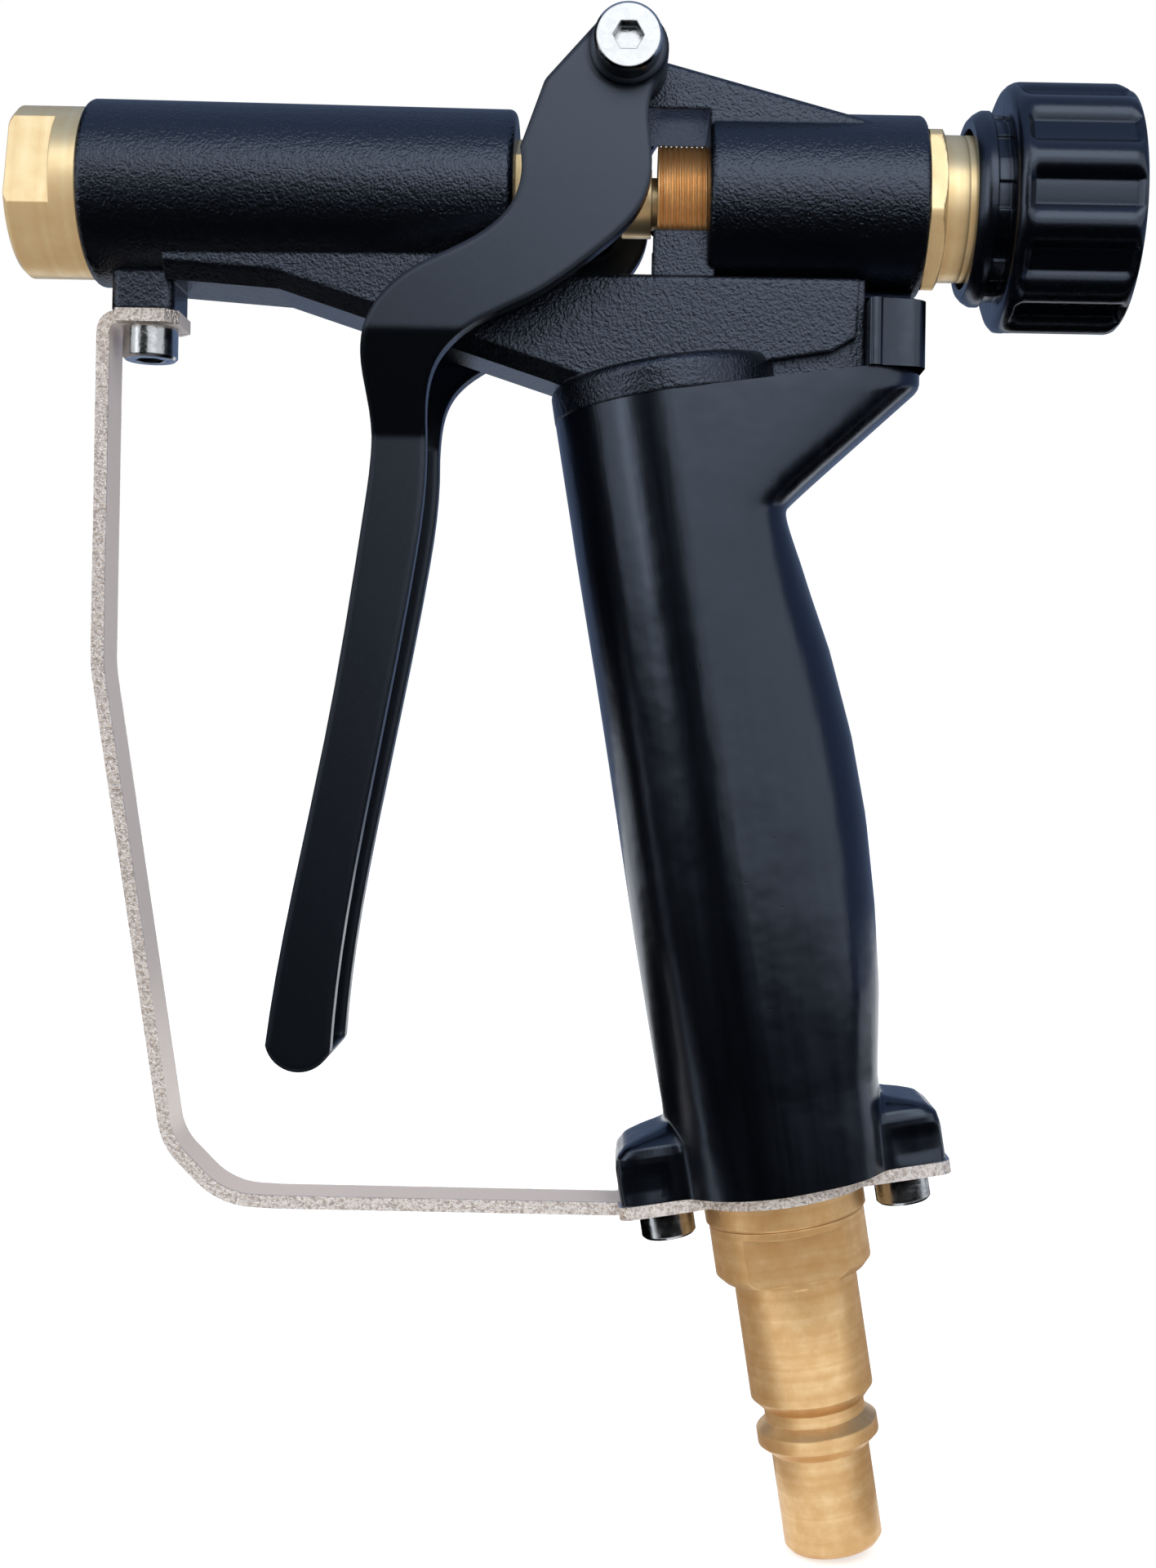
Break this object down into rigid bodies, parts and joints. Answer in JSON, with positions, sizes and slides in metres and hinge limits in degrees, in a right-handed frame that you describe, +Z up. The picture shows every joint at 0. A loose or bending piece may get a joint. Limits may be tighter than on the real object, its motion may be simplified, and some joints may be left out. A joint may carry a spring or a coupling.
{
  "type": "trigger hose nozzle",
  "caption": "Pistol-grip water hose nozzle with a lever trigger, a strip hand guard, an adjusting knob and a brass plug inlet.",
  "frame": {"origin": "centre of the inlet plug's tip", "axes": "+Z up, -X to the outlet, +X to the adjusting knob, +Y across to the far side"},
  "size_m": [0.1715, 0.0474, 0.234],
  "materials": {
    "black_coat": "powder coat",
    "black_plastic": "moulded",
    "brass": "turned",
    "steel": "turned",
    "zinc": "zinc plated",
    "spring_steel": "drawn wire",
    "rubber": "moulded",
    "strip": "nickel plated"
  },
  "bodies": {
    "body": {"valve_body": "black_coat", "outlet_fitting": "brass", "outlet_seal": "rubber", "valve_seat": "brass", "gland_packing": "rubber", "gland_nut": "brass", "closing_spring": "spring_steel", "spring_housing": "brass", "pivot_bush": "steel", "pivot_screws": "zinc", "grip": "black_plastic", "thread_inserts": "brass", "trigger_guard": "strip", "guard_front_screw": "zinc", "grip_screws": "zinc", "inlet_adapter": "brass", "inlet_seal": "rubber", "inlet_plug": "brass"},
    "trigger": {"trigger": "black_coat"},
    "stem": {"valve_stem": "steel", "valve_poppet": "rubber", "poppet_clip": "spring_steel", "stem_collar": "brass"},
    "carriage": {"spring_seat": "brass"},
    "knob": {"adjusting_spindle": "steel", "knob": "black_plastic", "knob_screw": "zinc", "knob_cap": "black_plastic"}
  },
  "joints": [
    {"name": "trigger_pull", "type": "hinge", "parent": "body", "child": "trigger", "pos_m": [-0.03649, 0, 0.2269], "axis": [0, -1, 0], "range_deg": [0, 14], "stiffness_Nm_per_rad": 1.2, "springref_deg": -20.05},
    {"name": "stem_slide", "type": "slide", "parent": "body", "child": "stem", "axis": [1, 0, 0], "range_m": [0, 0.0045], "deforming": ["closing_spring"]},
    {"name": "knob_advance", "type": "slide", "parent": "body", "child": "carriage", "axis": [-1, 0, 0], "range_m": [0, 0.003]},
    {"name": "knob_turn", "type": "hinge", "parent": "carriage", "child": "knob", "pos_m": [0, 0, 0.20895], "axis": [-1, 0, 0], "range_deg": [0, 720]}
  ],
  "couplings": [
    {"joint": "stem_slide", "follows": "trigger_pull", "m_per_rad": 0.0184},
    {"joint": "knob_advance", "follows": "knob_turn", "m_per_rad": 0.00023873}
  ]
}
